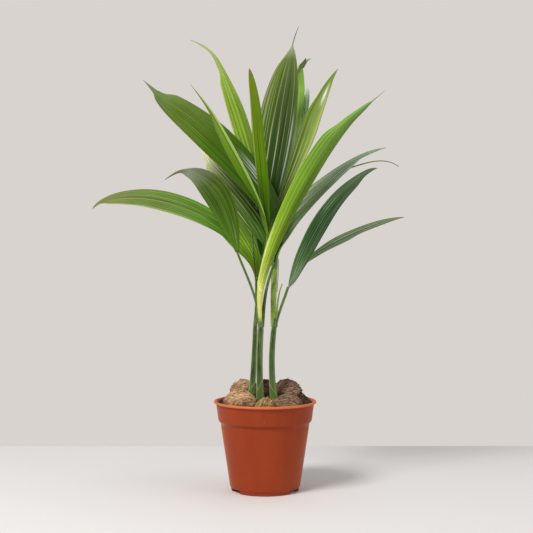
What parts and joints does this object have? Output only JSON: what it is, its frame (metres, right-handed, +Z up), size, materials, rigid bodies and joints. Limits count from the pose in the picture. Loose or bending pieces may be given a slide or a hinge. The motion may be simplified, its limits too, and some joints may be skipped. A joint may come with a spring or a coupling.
{
  "type": "potted betel palm seedlings",
  "caption": "Young palm clump with undivided pleated leaves on slender green stems, growing from husked nuts half buried in peat in a plain round nursery pot.",
  "frame": {"origin": "middle of the pot's flat underside, on the pot's axis", "axes": "+Z up along the pot's axis, +X to the right and +Y away from the viewer in the front view"},
  "size_m": [0.4726, 0.3037, 0.6877],
  "materials": {
    "pot": "satin moulded terracotta-coloured plastic",
    "soil": "matt crumbly dark peat",
    "nut": "matt fibrous brown husk",
    "stem": "satin green stalk with dry sheath edges",
    "young_stalk": "satin pale yellow-green stalk",
    "leaf": "pleated satin dark green leaf",
    "young_leaf": "pleated satin bright green leaf"
  },
  "bodies": {
    "root": {"broad_blade_left": "leaf", "broad_blade_right": "leaf", "broad_stalk": "stem", "front_blade_inner": "young_leaf", "front_blade_left": "young_leaf", "front_blade_right": "young_leaf", "front_blade_upright": "young_leaf", "front_stalk": "young_stalk", "low_blade_lower": "leaf", "low_blade_upper": "leaf", "low_stalk": "stem", "nut_back_left": "nut", "nut_back_right": "nut", "nut_front_left": "nut", "nut_front_middle": "nut", "nut_front_right": "nut", "nut_rear_left": "nut", "nut_rear_right": "nut", "pot": "pot", "rear_blade_left": "leaf", "rear_blade_right": "leaf", "rear_stalk": "stem", "side_blade_far_inner": "leaf", "side_blade_far_outer": "leaf", "side_blade_near_inner": "leaf", "side_blade_near_outer": "leaf", "side_stalk": "stem", "soil": "soil", "spear_blade_left": "leaf", "spear_blade_right": "leaf", "spear_stalk": "stem", "stem_left": "stem", "stem_middle": "stem", "stem_right": "stem", "stem_right_sheath": "stem", "tall_blade_left": "leaf", "tall_blade_upright": "leaf", "tall_stalk": "stem"}
  },
  "joints": []
}
